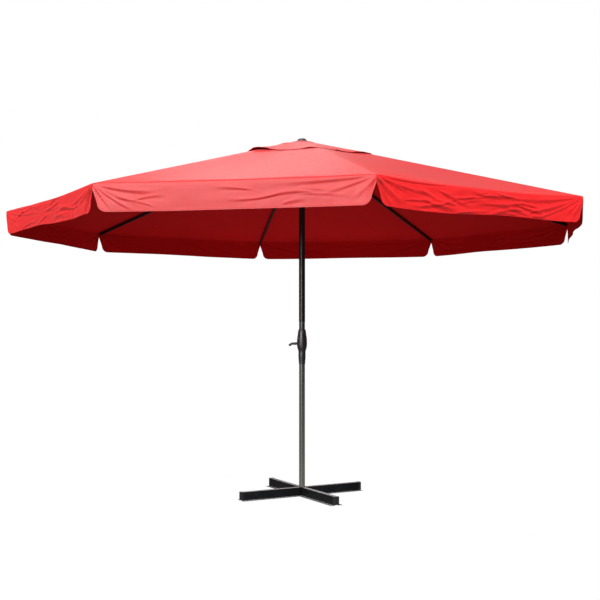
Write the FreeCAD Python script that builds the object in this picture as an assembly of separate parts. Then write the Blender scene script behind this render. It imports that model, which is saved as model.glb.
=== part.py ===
"""Large octagonal market umbrella with a crank-raised canopy, a two-part pole and a slab-holder cross base.

Units are millimetres, +Z is up, and the origin is on the ground under the pole's axis. Rib 1 points along +X and
the other ribs follow every 45 degrees. The umbrella is modelled open, resting on its upper stop.
"""
import FreeCAD
import Part

import os
from math import acos, asin, atan, atan2, cos, degrees, pi, radians, sin

from FreeCAD import Rotation, Vector

os.makedirs("parts", exist_ok=True)

# ---- driving dimensions ----
rib_count = 8
canopy_radius = 2500.0  # pole axis to a corner of the canopy
rim_z = 2420.0  # fold between the panels and the valance
apex_z = 3100.0  # where the ridges would meet
fabric = 1.0  # thickness of the canopy cloth
valance_height = 195.0
notch_depth = 41.0  # solid cloth left above each corner notch
notch_half_width = 32.0
notch_corner = 62.0  # rounding of the valance beside a notch
vent_radius = 700.0  # corner radius of the vent flap
opening_radius = 350.0  # corner radius of the hole in the main canopy, under the flap
crown_radius = 120.0  # corner radius of the reinforcing patch at the top
crown_inner = 100.0  # the flap sectors start here, under the patch
flap_lift = 3.0
crown_lift = 5.5
gore_gap = 0.25  # each sector stops this far short of the seam line

rib_width, rib_height, rib_wall = 18.0, 28.0, 0.9
rib_clearance = 3.0  # between a ridge's upper face and the rib's top
rib_start, rib_end = 30.0, 2488.0  # the tube's ends, from the hub pivot
rib_tip = 2508.0
strut_width, strut_height, strut_wall = 14.0, 20.0, 0.9
strut_start = 24.0
link_length = 760.0  # hub pivot to strut pivot, and strut pivot to runner pivot
strut_offset = 30.0  # strut pivot below the rib's centre line
pivot_radius = 70.0  # hub and runner pivots, from the pole's axis
pin_radius, pin_clearance = 2.5, 0.06
closed_slope = 83.5  # a rib's angle below level when the umbrella is closed

upper_pole_radius, lower_pole_radius, pole_wall = 27.0, 25.5, 1.5
upper_pole_bottom, upper_pole_top = 1508.0, 3036.0
lower_pole_top = 1240.0
crank_z = 1318.0
crank_azimuth = 79.0
crank_reach = 107.0  # pole axis to the knob, across the crank's axis
knob_drop = 14.0
spool_radius = 14.4
knob_radius, knob_length = 10.5, 62.0

beam_azimuth = 18.0
beam_half_length = 590.0
beam_width, beam_height, beam_wall = 40.0, 72.0, 2.0
bend_radius = 2.0
flange_span = 110.0
crossing_play, mitre_gap = 0.4, 3.0  # between the two halved beams, and between their flanges
cap_skirt, cap_proud, cap_end = 22.0, 1.6, 2.5  # an end cap's length on the beam and its thickness
plate_side, plate_thickness, plate_corner = 62.0, 4.0, 6.0
stud_radius, stud_rise = 5.0, 34.0  # the bolt that holds the pole's foot down
bolt_head_radius, bolt_head_height = 9.8, 7.0
foot_height = 40.0

# ---- values worked out from them ----
step_angle = 360.0 / rib_count
half_gore = radians(step_angle / 2)
ridge_fall = (apex_z - rim_z) / canopy_radius
open_slope = degrees(atan(ridge_fall))
rib_drop = rib_clearance + fabric / 2 + rib_height / 2 / cos(radians(open_slope))
hub_pivot_z = apex_z - ridge_fall * pivot_radius - rib_drop
link_tilt = degrees(asin(strut_offset / link_length))
link_slope = open_slope + link_tilt
runner_pivot_z = hub_pivot_z - 2 * link_length * sin(radians(link_slope))
along_rib = link_length * cos(radians(link_tilt))
fold_angle = closed_slope - open_slope
runner_travel = 2 * link_length * (sin(radians(link_slope + fold_angle)) - sin(radians(link_slope)))
crank_turns = runner_travel / (2 * pi * (spool_radius + 0.6))
pole_foot_z = beam_height + plate_thickness

AXIS_Z, AXIS_Y, AXIS_X = Vector(0, 0, 1), Vector(0, 1, 0), Vector(1, 0, 0)
ORIGIN = Vector(0, 0, 0)


# ---- small tools ----
def box(low, high):
    """A box between two corners."""
    return Part.makeBox(*(b - a for a, b in zip(low, high)), Vector(*low))


def rod(radius, start, end):
    """A round bar between two points."""
    run = end - start
    return Part.makeCylinder(radius, run.Length, start, run)


def ring(outer, inner, start, end):
    return rod(outer, start, end).cut(rod(inner, start, end))


def prism(points, push):
    """A polygon through the points, pushed along a vector."""
    return Part.Face(Part.makePolygon([*points, points[0]])).extrude(push)


def revolved(profile):
    """A closed (radius, z) outline turned about the pole's axis."""
    points = [Vector(r, 0, z) for r, z in profile]
    return Part.Face(Part.makePolygon([*points, points[0]])).revolve(ORIGIN, AXIS_Z, 360)


def moved(shape, rotation, base):
    """A copy turned about the origin and then carried to a point."""
    placed = shape.copy()
    placed.Placement = FreeCAD.Placement(base, rotation).multiply(placed.Placement)
    return placed


def turned(shape, azimuth):
    return moved(shape, Rotation(AXIS_Z, azimuth), ORIGIN)


def rounded(shape, radius, keep):
    """Fillets the straight edges that the test keeps, by their middle point and direction."""
    edges = []
    for edge in shape.Edges:
        if edge.Curve.TypeId == "Part::GeomLine":
            ends = [v.Point for v in edge.Vertexes]
            if keep((ends[0] + ends[1]) * 0.5, ends[1] - ends[0]):
                edges.append(edge)
    return shape.makeFillet(radius, edges)


def along(axis):
    """A test for edges that run along X, Y or Z (0, 1 or 2)."""
    return lambda middle, run: abs(run[axis]) > 0.99 * run.Length


def save(name, *solids):
    shape = solids[0] if len(solids) == 1 else Part.makeCompound(list(solids))
    shape.exportStep(f"parts/{name}.step")


# ---- base ----
def beam_profile():
    """Half-box with a flange along each side, as (across, up) points."""
    web, flange, wall = beam_width / 2, flange_span / 2, beam_wall
    right = [(flange, 0), (flange, wall), (web, wall), (web, beam_height)]
    inside = [(web - wall, 0), (web - wall, beam_height - wall)]
    left = [(-a, u) for a, u in reversed(right)]
    return right + left + [(-a, u) for a, u in inside] + [(a, u) for a, u in reversed(inside)]


def beam():
    """One cross beam along X, with its flanges mitred where the other beam crosses."""
    points = [Vector(-beam_half_length, a, u) for a, u in beam_profile()]
    solid = prism(points, Vector(2 * beam_half_length, 0, 0))

    def bend(middle, run):
        at_web = abs(abs(middle.y) - beam_width / 2) < 0.01
        return along(0)(middle, run) and at_web and middle.z > beam_wall - 0.01

    solid = rounded(solid, bend_radius, bend)
    inner, outer, gap = beam_width / 2 + 0.1, flange_span / 2 + 1, mitre_gap
    for side in (1, -1):
        corners = [(-inner - gap, inner), (inner + gap, inner), (outer + gap, outer), (-outer - gap, outer)]
        mitre = prism([Vector(x, side * y, -1) for x, y in corners], Vector(0, 0, 12))
        solid = solid.cut(mitre)
    return solid


def end_cap():
    """A moulded cap over one end of a beam that runs along X."""
    skirt_low = beam_wall + bend_radius + crossing_play
    outer = box(
        (beam_half_length - cap_skirt, -beam_width / 2 - cap_proud, skirt_low),
        (beam_half_length + cap_end, beam_width / 2 + cap_proud, beam_height + cap_proud),
    )
    outer = rounded(outer, 2.5, lambda middle, run: along(0)(middle, run) and middle.z > skirt_low)
    outer = rounded(outer, 1.0, lambda middle, run: middle.x > beam_half_length + 2 and middle.z > skirt_low)
    return outer.cut(box((0, -beam_width / 2, 0), (beam_half_length, beam_width / 2, beam_height)))


def centre_bolt():
    """The hexagon bolt that comes up through the beams and the plate into the pole's foot."""
    low = beam_height - beam_wall - bolt_head_height
    angles = [pi / 3 * i for i in range(6)]
    corners = [Vector(bolt_head_radius * cos(a), bolt_head_radius * sin(a), low) for a in angles]
    head = prism(corners, Vector(0, 0, bolt_head_height))
    shank = rod(stud_radius, Vector(0, 0, low), Vector(0, 0, pole_foot_z + stud_rise))
    return head.fuse(shank).removeSplitter()


def base():
    half, middle, across = beam_width / 2 + crossing_play, beam_height / 2, flange_span
    stud_hole = rod(stud_radius + 0.3, ORIGIN, Vector(0, 0, 2 * beam_height))
    from_above = box((-half, -across, middle), (half, across, beam_height + 1))
    from_below = box((-half, -across, -1), (half, across, middle + crossing_play))
    lower = beam().cut(from_above)
    upper = beam().cut(from_below).cut(stud_hole)
    save("base_beam_lower", turned(lower, beam_azimuth))
    save("base_beam_upper", turned(upper, beam_azimuth + 90))
    save("base_end_caps", *(turned(end_cap(), beam_azimuth + 90 * quarter) for quarter in range(4)))

    side = plate_side / 2
    plate = box((-side, -side, beam_height), (side, side, pole_foot_z))
    plate = rounded(plate, plate_corner, along(2)).cut(stud_hole)
    save("base_plate", turned(plate, beam_azimuth))
    save("centre_bolt", centre_bolt())


# ---- poles ----
def poles():
    foot, inside = Vector(0, 0, pole_foot_z), lower_pole_radius - pole_wall
    stud = rod(stud_radius, foot, Vector(0, 0, pole_foot_z + stud_rise))
    plug = rod(inside, foot, Vector(0, 0, pole_foot_z + foot_height)).cut(stud)
    save("pole_foot", plug)
    save("lower_pole", ring(lower_pole_radius, inside, foot, Vector(0, 0, lower_pole_top)))
    save(
        "upper_pole",
        ring(
            upper_pole_radius,
            upper_pole_radius - pole_wall,
            Vector(0, 0, upper_pole_bottom),
            Vector(0, 0, upper_pole_top),
        ),
    )


# ---- crank ----
# the housing's outer outline as (radius, z): the lower sleeve and barrel, then the collar above a seam
housing_bottom, barrel_top = 1138.0, 1388.0
neck_radius = upper_pole_radius - pole_wall
barrel_outline = [
    (27.8, housing_bottom), (29.6, 1178), (31.8, 1218), (32.5, 1254), (35.5, 1264), (40.5, 1282), (43.0, 1300),
    (43.8, 1322), (43.4, 1346), (41.6, 1368), (38.6, barrel_top),
]
collar_outline = [(37.6, 1390), (37.4, 1394), (34.6, 1420), (31.0, 1438), (26.2, 1443), (neck_radius, 1446)]
seam_radius = 36.4
cavity_bottom, passage_radius = 1258.0, 22.0
cavity_outline = [
    (29.0, cavity_bottom), (32.5, 1266), (37.4, 1284), (40.0, 1302), (40.8, 1322), (40.4, 1346), (38.6, 1367),
    (35.6, 1386), (31.4, 1420), (22.4, 1440),
]
spigot_top = 1560.0
shell_gap = 0.2  # from each half of the shell to the plane where they meet
boss_radius, boss_end = 19.0, 56.0
bush_radius, bush_length, bush_inset, shaft_radius = 9.0, 8.0, 6.0, 5.0
front_bush, front_wall = -41.0, -33.2  # the blind end of the shaft's bearing, along the crank's axis
post_radius, post_reach = 5.0, 26.0
screw_places = [(-24, 1364), (24, 1364), (-20, 1276), (20, 1276)]
screw_radius, screw_start, screw_seat = 1.75, -20.0, 24.0
screw_head_radius, screw_head_height = 3.9, 2.4
cross_half, cross_width, cross_depth = 2.6, 1.0, 1.0  # the cross cut into a screw's head


def smooth_barrel(outline, low, high):
    """A turned solid whose outer face is one smooth curve through the outline, closed along the axis."""
    curve = Part.BSplineCurve()
    curve.interpolate([Vector(r, 0, z) for r, z in outline])
    (first_radius, first_z), (last_radius, last_z) = outline[0], outline[-1]
    start, end = Vector(first_radius, 0, first_z), Vector(last_radius, 0, last_z)
    inner = Part.makePolygon([end, Vector(0, 0, high), Vector(0, 0, low), start])
    return Part.Face(Part.Wire([curve.toShape(), inner])).revolve(ORIGIN, AXIS_Z, 360)


def on_crank_axis(distance):
    """A point on the crank's axis, this far from the pole's axis, in the crank's own frame (along X)."""
    return Vector(distance, 0, crank_z)


def in_crank_frame(shape):
    return turned(shape, crank_azimuth)


def housing_screw(x, z):
    """A countersunk-cross screw along Y, with its shank and head."""
    head_end = screw_seat + screw_head_height
    shank = rod(screw_radius, Vector(x, screw_start, z), Vector(x, screw_seat, z))
    head = rod(screw_head_radius, Vector(x, screw_seat, z), Vector(x, head_end, z))
    cross = None
    for half_x, half_z in ((cross_width / 2, cross_half), (cross_half, cross_width / 2)):
        bar = box((x - half_x, head_end - cross_depth, z - half_z), (x + half_x, head_end + 1, z + half_z))
        cross = bar if cross is None else cross.fuse(bar)
    return shank.fuse(head).cut(cross).removeSplitter()


def housing_shell():
    """Both halves of the housing in one, hollow, with the crank's bearings and the screw posts."""
    barrel = smooth_barrel(barrel_outline, housing_bottom, barrel_top)
    seam = barrel_top - 2
    collar = revolved([(0, seam), (seam_radius, seam), *collar_outline, (neck_radius, spigot_top), (0, spigot_top)])
    boss = rod(boss_radius, on_crank_axis(0), on_crank_axis(boss_end))
    boss = boss.makeFillet(2.0, [e for e in boss.Edges if abs(e.CenterOfMass.x - boss_end) < 0.1])
    shell = barrel.fuse(collar).fuse(boss)

    top, shoulder = spigot_top + 1, cavity_outline[-1][1] + 4
    way_up = [(passage_radius, shoulder), (passage_radius, top), (0, top)]
    cavity = revolved([(0, cavity_bottom), *cavity_outline, *way_up])
    sleeve = rod(lower_pole_radius, Vector(0, 0, housing_bottom - 1), Vector(0, 0, lower_pole_top))
    passage = rod(passage_radius, Vector(0, 0, lower_pole_top - 1), Vector(0, 0, cavity_bottom + 1))
    shell = shell.cut(cavity).cut(sleeve).cut(passage)
    shell = shell.fuse(rod(boss_radius - 6, on_crank_axis(front_bush - 0.5), on_crank_axis(front_wall)))
    shell = shell.cut(rod(bush_radius, on_crank_axis(front_bush), on_crank_axis(boss_end - bush_inset)))
    shell = shell.cut(rod(shaft_radius + 0.4, on_crank_axis(0), on_crank_axis(boss_end + 1)))

    for x, z in screw_places:
        shell = shell.fuse(rod(post_radius, Vector(x, -post_reach, z), Vector(x, post_reach, z)))
        shell = shell.cut(rod(screw_radius, Vector(x, screw_start, z), Vector(x, screw_seat, z)))
        shell = shell.cut(rod(screw_head_radius + 0.1, Vector(x, screw_seat, z), Vector(x, boss_end, z)))
    return shell


def housing():
    shell, wide = housing_shell(), 2 * boss_end
    left = box((-wide, shell_gap, housing_bottom - 1), (wide, wide, spigot_top + 1))
    right = box((-wide, -wide, housing_bottom - 1), (wide, -shell_gap, spigot_top + 1))
    save("crank_housing_left", in_crank_frame(shell.common(left)))
    save("crank_housing_right", in_crank_frame(shell.common(right)))
    save("housing_screws", *(in_crank_frame(housing_screw(x, z)) for x, z in screw_places))

    bushes = []
    for start in (front_bush, boss_end - bush_inset - bush_length):
        ends = on_crank_axis(start), on_crank_axis(start + bush_length)
        bushes.append(in_crank_frame(ring(bush_radius, shaft_radius + pin_clearance, *ends)))
    save("shaft_bushes", *bushes)


spool_half, spool_flange, spool_flange_radius = 16.0, 3.0, 25.0
arm_gap, arm_thickness = 1.5, 9.0
arm_eye, arm_elbow, arm_tip = 14.0, 10.0, 10.5  # radii of the arm at the shaft, at its bend and at the knob
elbow_place = (90.0, -3.0)
knob_pin_radius, knob_pin_head = 3.0, 5.5
knob_gap = 0.4  # from the arm to the knob that turns on it


def crank_arm():
    """The arm reaches sideways, then bends down to the knob: three discs joined by tangent webs."""
    start_x = boss_end + arm_gap
    discs = [((0.0, 0.0), arm_eye), (elbow_place, arm_elbow), ((crank_reach, -knob_drop), arm_tip)]
    arm = None
    for (start, start_radius), (end, end_radius) in zip(discs, discs[1:]):
        web = tangent_web(start, start_radius, end, end_radius, start_x)
        pieces = [prism(web, AXIS_X * arm_thickness)]
        for (across, up), radius in ((start, start_radius), (end, end_radius)):
            centre = Vector(start_x, across, crank_z + up)
            pieces.append(rod(radius, centre, centre + AXIS_X * arm_thickness))
        for piece in pieces:
            arm = piece if arm is None else arm.fuse(piece)
    return arm.removeSplitter()


def knob_grip(low, high):
    """The knob's barrel, turned about the X axis between two distances."""
    end_radius, tip_radius = knob_radius - 2.0, knob_radius - 3.6
    outline = [
        (low, end_radius), (low + 2, knob_radius - 0.8), (low + 12, knob_radius),
        (high - 20, knob_radius + 0.6), (high - 6, knob_radius), (high - 1.2, knob_radius - 1.8), (high, tip_radius),
    ]
    curve = Part.BSplineCurve()
    curve.interpolate([Vector(x, 0, r) for x, r in outline])
    sides = [Vector(high, 0, tip_radius), Vector(high, 0, 0), Vector(low, 0, 0), Vector(low, 0, end_radius)]
    return Part.Face(Part.Wire([curve.toShape(), Part.makePolygon(sides)])).revolve(ORIGIN, AXIS_X, 360)


def crank():
    arm_start = boss_end + arm_gap
    arm_end = arm_start + arm_thickness
    shaft = rod(shaft_radius, on_crank_axis(front_bush + 0.5), on_crank_axis(arm_end + 1.5))
    save("crank_shaft", in_crank_frame(shaft))

    spool = ring(spool_radius, shaft_radius, on_crank_axis(-spool_half), on_crank_axis(spool_half))
    for start in (-spool_half, spool_half - spool_flange):
        ends = on_crank_axis(start), on_crank_axis(start + spool_flange)
        spool = spool.fuse(ring(spool_flange_radius, shaft_radius, *ends))
    save("cord_spool", in_crank_frame(spool.removeSplitter()))

    knob_centre = Vector(0, crank_reach, crank_z - knob_drop)
    pin_start, pin_end = arm_start + 1, arm_end + knob_length - 6
    hole = rod(shaft_radius, on_crank_axis(arm_start), on_crank_axis(arm_end))
    pin_hole = rod(knob_pin_radius, knob_centre + AXIS_X * pin_start, knob_centre + AXIS_X * (arm_end + 1))
    save("crank_arm", in_crank_frame(crank_arm().cut(hole).cut(pin_hole)))

    pin = rod(knob_pin_radius, knob_centre + AXIS_X * pin_start, knob_centre + AXIS_X * pin_end)
    pin = pin.fuse(rod(knob_pin_head, knob_centre + AXIS_X * pin_end, knob_centre + AXIS_X * (pin_end + 2.5)))
    save("knob_pin", in_crank_frame(pin.removeSplitter()))

    low, high = arm_end + knob_gap, arm_end + knob_length
    bore = rod(knob_pin_radius + pin_clearance, knob_centre + AXIS_X * low, knob_centre + AXIS_X * pin_end)
    room_start = pin_end - 0.3
    head_room = rod(knob_pin_head + 0.5, knob_centre + AXIS_X * room_start, knob_centre + AXIS_X * (high + 1))
    grip = moved(knob_grip(low, high), Rotation(), knob_centre)
    save("crank_knob", in_crank_frame(grip.cut(bore).cut(head_room)))


def tangent_web(start, start_radius, end, end_radius, x):
    """The quadrilateral between the outer tangents of two circles, in the plane at x."""
    run, rise = end[0] - start[0], end[1] - start[1]
    heading = atan2(rise, run)
    lean = acos((start_radius - end_radius) / (run * run + rise * rise) ** 0.5)
    corners = []
    for (across, up), radius, side in (
        (start, start_radius, 1), (end, end_radius, 1), (end, end_radius, -1), (start, start_radius, -1)
    ):
        angle = heading + side * lean
        corners.append(Vector(x, across + radius * cos(angle), crank_z + up + radius * sin(angle)))
    return corners


# ---- hub and runner ----
slot_width, eye_width = 12.8, 12.0
hub_low, hub_high, hub_radius = 3040.0, 3072.0, 84.0
hub_crest = apex_z - 8.0
hub_plug = 38.0  # how far the hub reaches down into the pole
ring_half = 14.0
runner_skirt, runner_sleeve, runner_play = 16.0, 74.0, 0.6
finger = 9.0  # how far a pivot pin reaches into the fingers on both sides of its slot
pulley_radius, pulley_offset, pulley_z, pulley_half = 14.0, 23.0, 3052.0, 5.0
axle_radius, axle_half = 3.0, 16.0
cord_radius = 3.2  # the cord's way through the runner
pulley_azimuth = step_angle / 2
finial_outline = [(40, 3), (37, 9), (30, 14.5), (20, 18.4), (9, 20.2), (0, 20.6)]  # radius, height
finial_screw = 4.0
washer_step, washer_radius = 29.0, 55.0


def slotted(shape, low, high):
    """Cuts the slots for the link ends, from inside the pivots outwards."""
    for k in range(rib_count):
        slot = box((pivot_radius - 14, -slot_width / 2, low), (hub_radius + 5, slot_width / 2, high))
        shape = shape.cut(turned(slot, step_angle * k))
    return shape


def pivot_pins(z):
    """One pin across each slot, held at both ends by the fingers beside it."""
    reach = slot_width / 2 + finger
    pin = rod(pin_radius, Vector(pivot_radius, -reach, z), Vector(pivot_radius, reach, z))
    return [turned(pin, step_angle * k) for k in range(rib_count)]


def finial():
    """The cap on top, with the screw that holds it to the hub."""
    foot, top = Vector(finial_outline[0][0], 0, apex_z), apex_z + finial_outline[-1][1]
    curve = Part.BSplineCurve()
    curve.interpolate([Vector(r, 0, apex_z + z) for r, z in finial_outline])
    rim = foot + Vector(0, 0, finial_outline[0][1])
    sides = Part.makePolygon([Vector(0, 0, top), Vector(0, 0, apex_z), foot, rim])
    dome = Part.Face(Part.Wire([curve.toShape(), sides])).revolve(ORIGIN, AXIS_Z, 360)
    screw = rod(finial_screw, Vector(0, 0, hub_crest - 13), Vector(0, 0, apex_z + 1))
    return dome.fuse(screw).removeSplitter()


def over_patch(radius, gap):
    """The height of a gap above the crown patch, at a distance from the pole's axis."""
    return apex_z + crown_lift - ridge_fall * radius + gap


def finial_washer():
    """The dished washer that clamps the cloth under the finial."""
    bore = finial_screw + 0.2
    return revolved(
        [
            (bore, hub_crest), (washer_step, hub_crest), (washer_step, over_patch(washer_step, 0.3)),
            (washer_radius, over_patch(washer_radius, 0.3)), (washer_radius, over_patch(washer_radius, 2.3)),
            (washer_radius - 2, over_patch(washer_radius, 3.2)), (washer_step + 3, apex_z), (bore, apex_z),
        ]
    )


def hub():
    plug_low = hub_low - hub_plug
    body = revolved(
        [
            (0, plug_low), (neck_radius, plug_low), (neck_radius, upper_pole_top), (31, upper_pole_top),
            (34, hub_low), (hub_radius - 3, hub_low), (hub_radius, hub_low + 3), (hub_radius, hub_high - 4),
            (hub_radius - 6, hub_high), (44, hub_crest - 6), (26, hub_crest), (0, hub_crest),
        ]
    )
    body = slotted(body, hub_low - 1, hub_crest + 1)
    cord_way = box((4, -7, plug_low - 1), (42, 7, hub_high))
    pulley, half_axle = Vector(pulley_offset, 0, pulley_z), AXIS_Y * axle_half
    axle = rod(axle_radius, pulley - half_axle, pulley + half_axle)
    body = body.cut(turned(cord_way, pulley_azimuth)).cut(turned(axle, pulley_azimuth))
    pins = pivot_pins(hub_pivot_z)
    for pin in pins:
        body = body.cut(pin)
    screw_hole = rod(finial_screw, Vector(0, 0, hub_crest - 14), Vector(0, 0, hub_crest + 1))
    save("hub", body.cut(screw_hole))
    save("hub_pins", *pins)
    save("pulley_pin", turned(axle, pulley_azimuth))

    wheel = ring(pulley_radius, axle_radius, pulley - AXIS_Y * pulley_half, pulley + AXIS_Y * pulley_half)
    groove = Part.makeTorus(pulley_radius + 1.5, 4.0, pulley, AXIS_Y)
    save("cord_pulley", turned(wheel.cut(groove), pulley_azimuth))
    save("finial", finial())
    save("finial_washer", finial_washer())


def runner():
    z, bore = runner_pivot_z, upper_pole_radius + runner_play
    low, high = z - runner_skirt, z + runner_sleeve
    body = revolved(
        [
            (bore, low), (34, low), (38, z - ring_half), (hub_radius - 3, z - ring_half),
            (hub_radius, z - ring_half + 3), (hub_radius, z + ring_half - 3), (hub_radius - 3, z + ring_half),
            (44, z + ring_half), (38, z + ring_half + 8), (35, high), (bore, high),
        ]
    )
    body = slotted(body, z - ring_half - 1, z + ring_half + 1)
    pins = pivot_pins(z)
    for pin in pins:
        body = body.cut(pin)
    cord = Vector(pulley_offset + pulley_radius, 0, 0)
    cord_hole = rod(cord_radius, cord + Vector(0, 0, low - 1), cord + Vector(0, 0, high + 1))
    save("runner", body.cut(turned(cord_hole, pulley_azimuth)))
    save("runner_pins", *pins)


# ---- ribs and struts ----
hub_pivot = Vector(pivot_radius, 0, hub_pivot_z)
runner_pivot = Vector(pivot_radius, 0, runner_pivot_z)
rib_frame = Rotation(AXIS_Y, open_slope)
strut_frame = Rotation(AXIS_Y, -link_slope)
cheek, saddle_half, ear_radius = 3.2, 26.0, 11.0  # of the clevis round a rib
rivet_head, rivet_head_height = 4.6, 1.8


def tube(width, height, wall, start, end):
    """A rectangular tube along X with rounded corners."""
    outer = box((start, -width / 2, -height / 2), (end, width / 2, height / 2))
    inner = box((start, -width / 2 + wall, -height / 2 + wall), (end, width / 2 - wall, height / 2 - wall))
    return rounded(outer, 3.0, along(0)).cut(rounded(inner, 1.8, along(0)))


def eye(width, radius, hole_radius, plug_from, plug_to, plug_width, plug_height, side=1):
    """A round eye about the origin, with a shank that plugs into a tube further along X."""
    half = width / 2
    body = rod(radius, Vector(0, -half, 0), Vector(0, half, 0))
    shank = box((0, -half, -radius + 1), (plug_from, half, radius - 1))
    plug = box((plug_from, -plug_width / 2, -plug_height / 2), (plug_to, plug_width / 2, plug_height / 2))
    plug = rounded(plug, 1.8, along(0))
    whole = body.fuse(shank).fuse(plug).removeSplitter()
    whole = whole.cut(rod(hole_radius, Vector(0, -half - 1, 0), Vector(0, half + 1, 0)))
    return whole if side > 0 else moved(whole, Rotation(AXIS_Z, 180), ORIGIN)


def rib_tube():
    return tube(rib_width, rib_height, rib_wall, rib_start, rib_end)


def strut_clevis():
    """The saddle round the rib with two ears for the strut, and the rivet through them."""
    outside, inside, low = rib_width / 2 + cheek, strut_width / 2 + 0.4, -strut_offset
    under = -rib_height / 2
    saddle = box((along_rib - saddle_half, -outside, under - 3.5), (along_rib + saddle_half, outside, 3.0))
    saddle = rounded(saddle, 2.0, lambda middle, run: along(1)(middle, run) and middle.z > 0)
    room_half = saddle_half + 4
    room = box((along_rib - room_half, -rib_width / 2, under), (along_rib + room_half, rib_width / 2, 10))
    clevis = saddle.cut(room)
    for side in (1, -1):
        near, far = sorted((side * inside, side * outside))
        ear = rod(ear_radius, Vector(along_rib, near, low), Vector(along_rib, far, low))
        web = [
            (along_rib - ear_radius, low), (along_rib + ear_radius, low), (along_rib + 20, under - 3),
            (along_rib - 20, under - 3),
        ]
        neck = prism([Vector(x, near, z) for x, z in web], Vector(0, far - near, 0))
        clevis = clevis.fuse(ear).fuse(neck)
    reach = outside + rivet_head_height
    pin = rod(pin_radius, Vector(along_rib, -reach, low), Vector(along_rib, reach, low))
    rivet = pin
    for start in (-reach, outside):
        head = rod(rivet_head, Vector(along_rib, start, low), Vector(along_rib, start + rivet_head_height, low))
        rivet = rivet.fuse(head)
    return clevis.removeSplitter().cut(pin), rivet.removeSplitter()


def rib_nose(plug_width, plug_height):
    """The rounded tip that plugs into the rib's outer end and holds the canopy's corner."""
    nose = box((rib_end, -rib_width / 2, -rib_height / 2), (rib_tip, rib_width / 2, rib_height / 2))
    nose = rounded(nose, 3.0, along(0))
    ends = [e for e in nose.Edges if abs(e.CenterOfMass.x - rib_tip) < 0.5]
    nose = nose.makeFillet(7.0, [e for e in ends if abs(e.CenterOfMass.z) > rib_height / 2 - 1])
    plug = box((rib_end - 30, -plug_width / 2, -plug_height / 2), (rib_end, plug_width / 2, plug_height / 2))
    return nose.fuse(rounded(plug, 1.8, along(0))).removeSplitter()


def rib_fittings():
    """The hub eye, the strut's clevis with its rivet, and the rounded tip, in the rib's own frame."""
    inner_width, inner_height = rib_width - 2 * rib_wall, rib_height - 2 * rib_wall
    hole = pin_radius + pin_clearance
    hub_eye = eye(eye_width, 9.0, hole, rib_start, rib_start + 34, inner_width, inner_height)
    return [hub_eye, *strut_clevis(), rib_nose(inner_width, inner_height)]


def strut_solids():
    """The strut's tube and its two eyes, in its own frame, from the runner pivot along X."""
    inner_width, inner_height = strut_width - 2 * strut_wall, strut_height - 2 * strut_wall
    hole = pin_radius + pin_clearance
    lower = eye(eye_width, 8.5, hole, strut_start, strut_start + 26, inner_width, inner_height)
    upper = eye(strut_width, 9.0, hole, strut_start, strut_start + 26, inner_width, inner_height, side=-1)
    body = tube(strut_width, strut_height, strut_wall, strut_start, link_length - strut_start)
    return [body, lower, moved(upper, Rotation(), Vector(link_length, 0, 0))]


def links():
    rib, fittings, strut = rib_tube(), rib_fittings(), strut_solids()
    for k in range(rib_count):
        azimuth = step_angle * k
        save(f"rib_{k + 1}", turned(moved(rib, rib_frame, hub_pivot), azimuth))
        save(f"rib_fittings_{k + 1}", *(turned(moved(s, rib_frame, hub_pivot), azimuth) for s in fittings))
        save(f"strut_{k + 1}", *(turned(moved(s, strut_frame, runner_pivot), azimuth) for s in strut))


# ---- canopy ----
def seam_point(radius, side):
    """The place on the seam line between two ribs, at a corner radius, held clear of the next sector."""
    reach = radius * cos(half_gore)
    x = reach * cos(half_gore) + gore_gap * sin(half_gore)
    y = reach * sin(half_gore) - gore_gap * cos(half_gore)
    return x, side * y


def half_panel(inner, outer, lift, side):
    """One side of a sector, from the ridge over rib 1 to the seam line, between two corner radii."""
    top = apex_z + lift
    near, far = seam_point(inner, side), seam_point(outer, side)
    near_z, far_z = top - ridge_fall * inner, top - ridge_fall * outer
    corners = [Vector(inner, 0, near_z), Vector(outer, 0, far_z), Vector(*far, far_z), Vector(*near, near_z)]
    return prism(corners, Vector(0, 0, -fabric))


def half_valance(side):
    """The hanging edge from a corner to the seam line, with half of the corner's notch."""
    edge_x, edge_y = seam_point(canopy_radius, side)
    run = Vector(edge_x - canopy_radius, edge_y, 0)
    heading = run.normalize() if run.Length else run
    length = (Vector(edge_x, edge_y, 0) - Vector(canopy_radius, 0, 0)).Length
    top = rim_z - fabric

    def at(distance, drop):
        return Vector(canopy_radius, 0, top - drop) + heading * distance

    start, foot = 1.0, valance_height - fabric
    shoulder = foot - notch_corner
    before, after = at(notch_half_width, shoulder), at(notch_half_width + notch_corner, foot)
    bow = notch_corner * (1 - cos(radians(45)))
    bend = at(notch_half_width + bow, shoulder + notch_corner * sin(radians(45)))
    edges = [
        Part.makePolygon([at(start, 0), at(start, notch_depth), before]),
        Part.Arc(before, bend, after).toShape(),
        Part.makePolygon([after, at(length, foot), at(length, 0), at(start, 0)]),
    ]
    inward = Vector(-heading.y, heading.x, 0) * side * fabric
    return Part.Face(Part.Wire(edges)).extrude(inward)


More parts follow.
